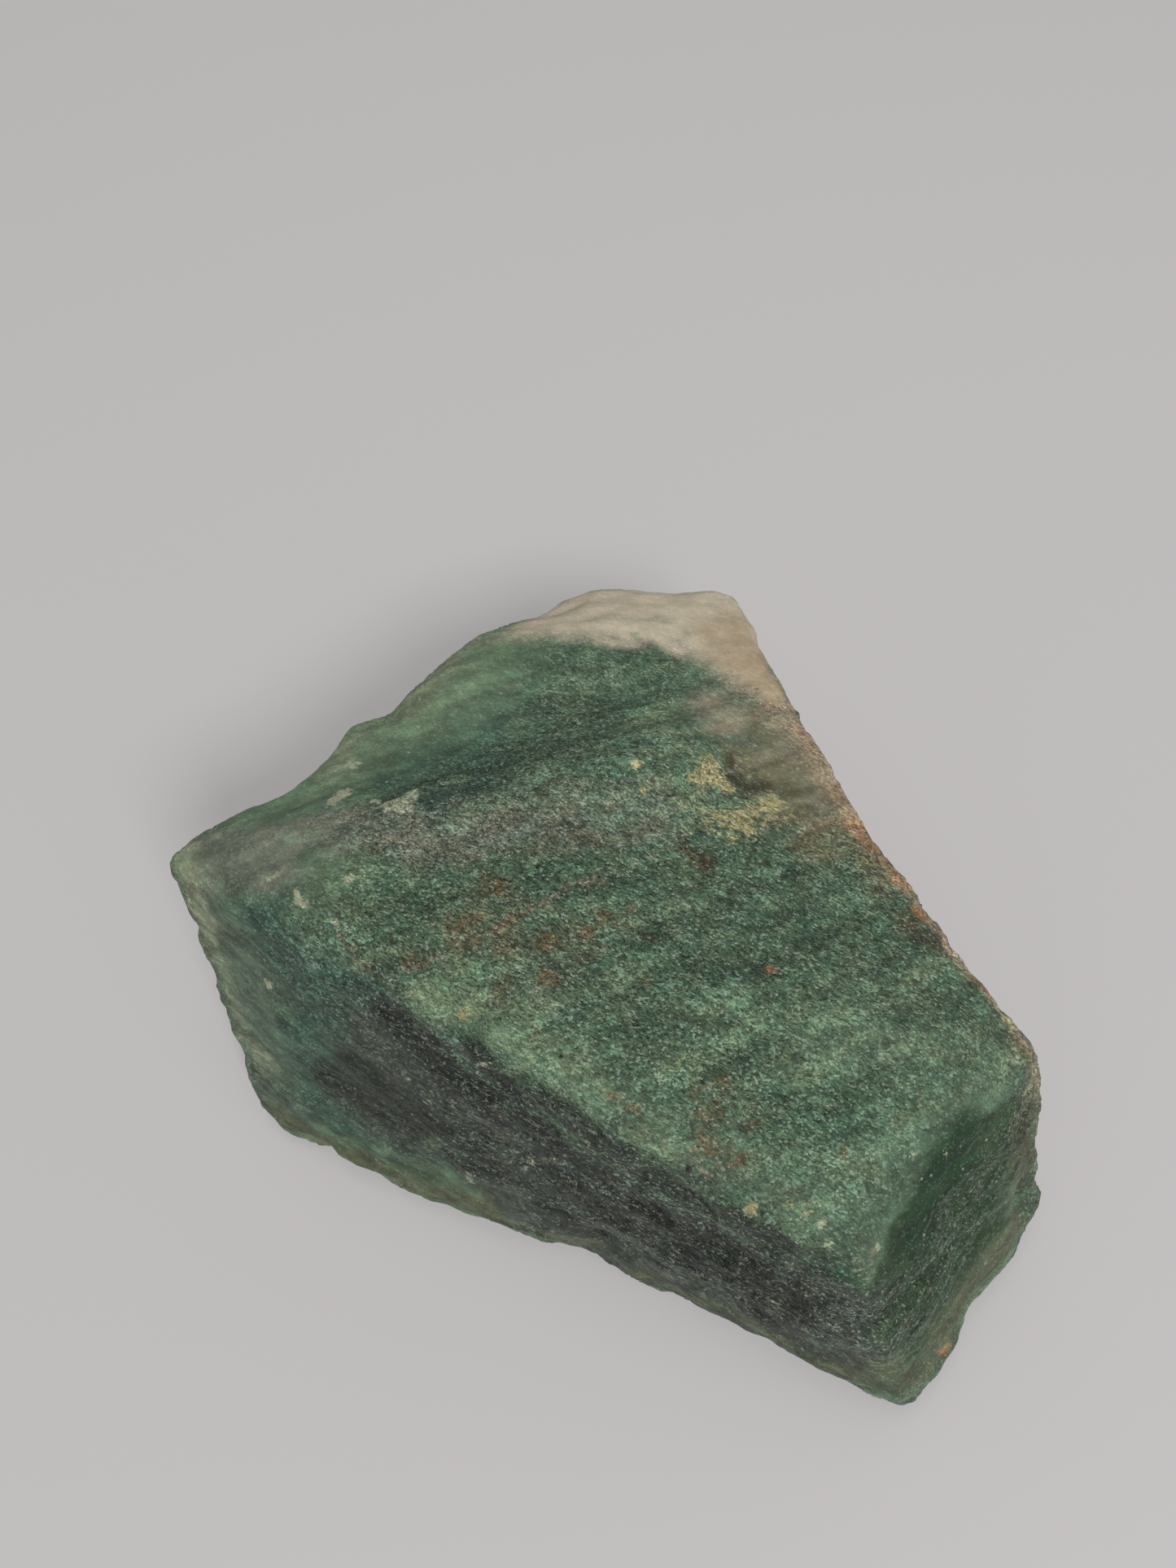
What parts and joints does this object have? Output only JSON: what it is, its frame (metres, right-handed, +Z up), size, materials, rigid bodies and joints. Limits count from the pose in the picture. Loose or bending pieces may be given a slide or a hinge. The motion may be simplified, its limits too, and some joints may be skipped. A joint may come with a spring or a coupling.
{
  "type": "raw aventurine stone",
  "caption": "Rough broken chunk of green aventurine with a bedded top, steep broken sides and a pale quartz end; a mineral specimen that lies on its flat base.",
  "frame": {"origin": "middle of the stone's outline in plan, on the surface that it rests on", "axes": "+Z up, +X along the stone's length towards its narrow end face, +Y towards the pale quartz end"},
  "size_m": [0.097, 0.0936, 0.0373],
  "materials": {
    "aventurine": "broken, sugary and frosted, with small bright mica flakes"
  },
  "bodies": {
    "root": {"stone": "aventurine"}
  },
  "joints": []
}
